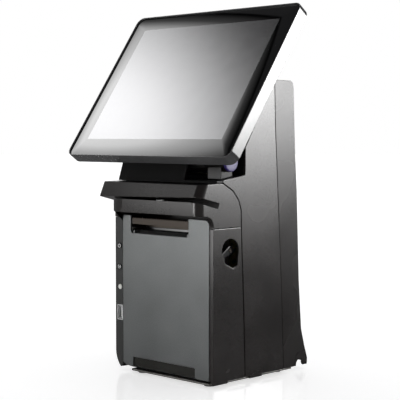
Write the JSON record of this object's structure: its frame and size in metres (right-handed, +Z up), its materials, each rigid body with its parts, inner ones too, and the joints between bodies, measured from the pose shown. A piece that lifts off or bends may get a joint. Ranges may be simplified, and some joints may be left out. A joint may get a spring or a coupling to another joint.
{
  "type": "pos touchscreen terminal",
  "caption": "Counter stand with a receipt printer behind a hinged front cover, a card swipe slot above it, and a touch screen on a tilting hinge.",
  "frame": {"origin": "middle of the object's footprint box, on the surface it stands on", "axes": "+X to the user's right, +Y to the back, +Z up"},
  "size_m": [0.2558, 0.189, 0.4129],
  "materials": {
    "body_plastic": "fine texture",
    "dark_plastic": "matt",
    "gloss_black": "gloss",
    "cover_plastic": "fine metallic texture",
    "violet_cap": "satin",
    "screen_edge": "gloss",
    "touch_glass": "gloss, black border",
    "lcd": "satin",
    "steel": "brushed",
    "heat_sink": "satin",
    "board": "satin",
    "rubber": "matt",
    "white_plastic": "satin"
  },
  "bodies": {
    "stand": {"base_plate": "dark_plastic", "button_board": "board", "cover_pin_left": "steel", "cover_pin_right": "steel", "dc_inlet": "steel", "drawer_port": "steel", "foot_front_left": "rubber", "foot_front_right": "rubber", "foot_rear_left": "rubber", "foot_rear_right": "rubber", "heat_sink": "heat_sink", "hinge_barrel_left": "gloss_black", "hinge_barrel_right": "gloss_black", "hinge_bay_floor": "dark_plastic", "hinge_cap_left": "violet_cap", "hinge_cap_right": "violet_cap", "hinge_shaft": "steel", "io_board": "board", "io_plate": "steel", "lan_port": "steel", "lower_housing": "body_plastic", "mainboard": "board", "neck_cover": "dark_plastic", "paper_bin": "dark_plastic", "port_strip": "body_plastic", "printer_frame": "steel", "reader_spring": "steel", "rear_cover": "body_plastic", "slope_panel": "dark_plastic", "speaker": "dark_plastic", "status_lens": "white_plastic", "stepper_motor": "steel", "storage_drive": "steel", "tear_bar": "steel", "thermal_head": "gloss_black", "top_housing": "body_plastic", "tower_shell": "body_plastic", "usb_port": "steel", "usb_rear_port": "steel"},
    "screen": {"screen_frame": "screen_edge", "touch_glass": "touch_glass", "lcd_panel": "lcd", "lcd_chassis": "steel", "driver_board": "board", "screen_back": "body_plastic", "hinge_arm": "body_plastic"},
    "cover": {"printer_cover": "cover_plastic", "platen_bearing_left": "steel", "platen_bearing_right": "steel"},
    "platen": {"platen_shaft": "steel", "platen_roller": "rubber", "platen_gear": "white_plastic"},
    "idler": {"idler_gear": "white_plastic"},
    "motor_rotor": {"motor_gear": "steel"},
    "latch": {"latch_bar": "steel", "release_lever": "gloss_black", "latch_spring": "steel"},
    "power_key": {"power_button": "gloss_black"},
    "feed_key": {"feed_button": "gloss_black"},
    "card_head": {"reader_head": "steel"}
  },
  "joints": [
    {"name": "screen_tilt", "type": "hinge", "parent": "stand", "child": "screen", "pos_m": [0, -0.0351, 0.2418], "axis": [1, 0, 0], "range_deg": [-10, 22]},
    {"name": "cover_swing", "type": "hinge", "parent": "stand", "child": "cover", "pos_m": [0, -0.0589, 0.014], "axis": [1, 0, 0], "range_deg": [0, 78]},
    {"name": "platen_spin", "type": "hinge", "parent": "cover", "child": "platen", "pos_m": [0, -0.052, 0.157], "axis": [1, 0, 0], "continuous": true},
    {"name": "idler_spin", "type": "hinge", "parent": "stand", "child": "idler", "pos_m": [-0.05975, -0.04059, 0.1434], "axis": [1, 0, 0], "continuous": true},
    {"name": "motor_spin", "type": "hinge", "parent": "stand", "child": "motor_rotor", "pos_m": [-0.05975, -0.04312, 0.12907], "axis": [1, 0, 0], "continuous": true},
    {"name": "latch_turn", "type": "hinge", "parent": "stand", "child": "latch", "pos_m": [0, -0.0299, 0.146], "axis": [-1, 0, 0], "range_deg": [0, 8], "stiffness_Nm_per_rad": 0.3},
    {"name": "power_press", "type": "slide", "parent": "stand", "child": "power_key", "axis": [0, 1, 0], "range_m": [0, 0.0008], "stiffness_N_per_m": 400},
    {"name": "feed_press", "type": "slide", "parent": "stand", "child": "feed_key", "axis": [0, 1, 0], "range_m": [0, 0.0008], "stiffness_N_per_m": 400},
    {"name": "head_float", "type": "slide", "parent": "stand", "child": "card_head", "axis": [0, 0, 1], "range_m": [0, 0.0008], "stiffness_N_per_m": 400}
  ],
  "couplings": [
    {"joint": "idler_spin", "follows": "platen_spin", "ratio": -0.83333},
    {"joint": "motor_spin", "follows": "platen_spin", "ratio": 1.6667}
  ]
}
